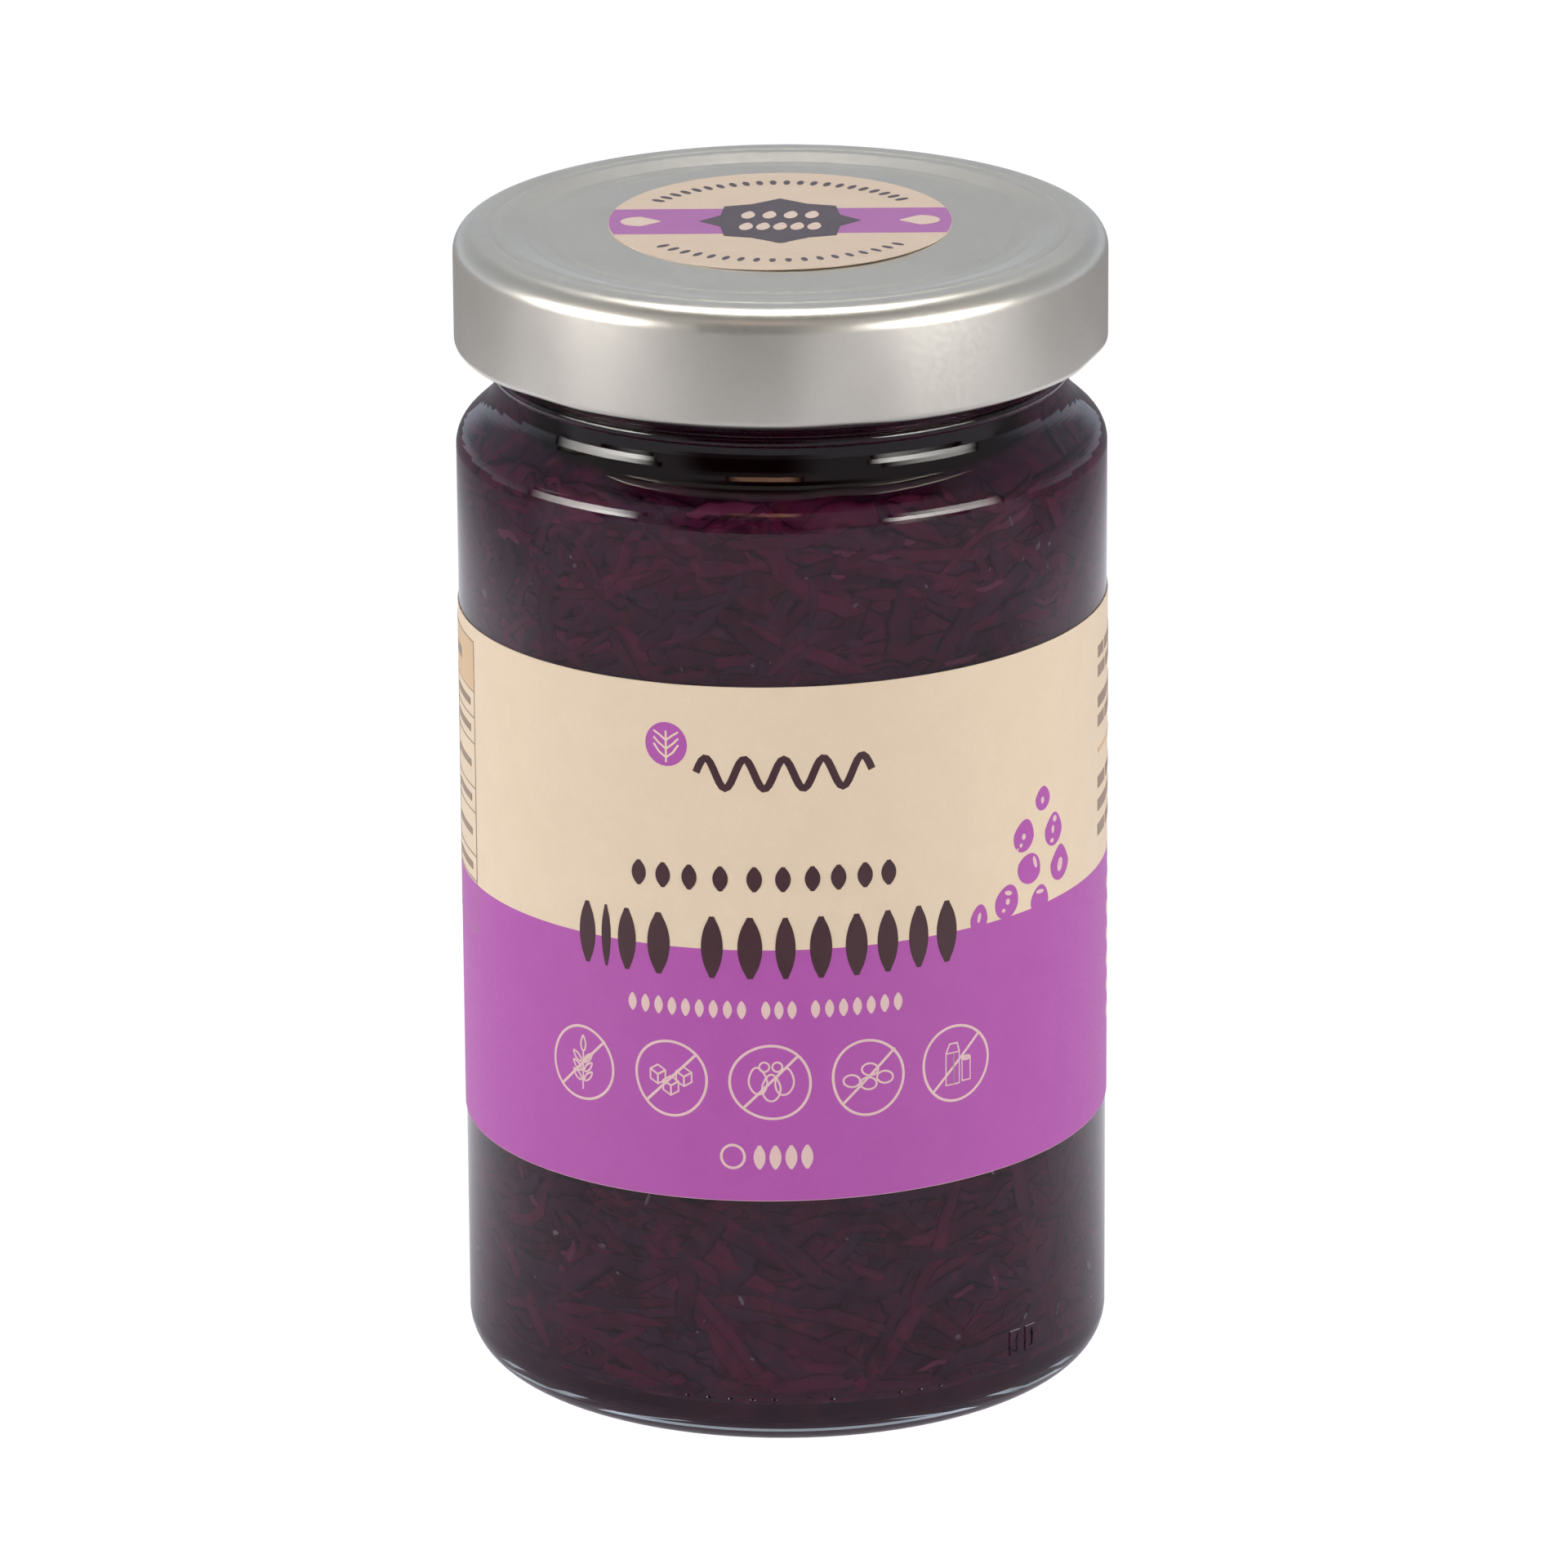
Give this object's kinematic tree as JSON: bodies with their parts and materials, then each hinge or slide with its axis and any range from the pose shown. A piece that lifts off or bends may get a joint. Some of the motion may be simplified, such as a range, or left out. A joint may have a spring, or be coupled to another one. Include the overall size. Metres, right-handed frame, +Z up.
{
  "type": "fermented red cabbage jar",
  "caption": "Straight glass jar of shredded fermented red cabbage in brine, with a deep twist-off tin lid, a wrap-around paper label and an oval paper seal on the lid.",
  "frame": {"origin": "middle of the jar's base, on the surface it stands on", "axes": "+Z up along the jar's axis; the label's front faces -Y; +X is to the right of the label"},
  "size_m": [0.081, 0.0809, 0.1461],
  "materials": {
    "glass": "clear, smooth, faintly green where thick",
    "cabbage": "wet, dark plum red, shredded",
    "tinplate": "satin silver lacquer on tinplate",
    "label_paper": "satin coated paper, cream over purple",
    "sticker_paper": "satin coated paper, cream with a purple band"
  },
  "bodies": {
    "root": {"jar": "glass", "contents": "cabbage", "lid": "tinplate", "label": "label_paper", "lid_sticker": "sticker_paper"}
  },
  "joints": []
}
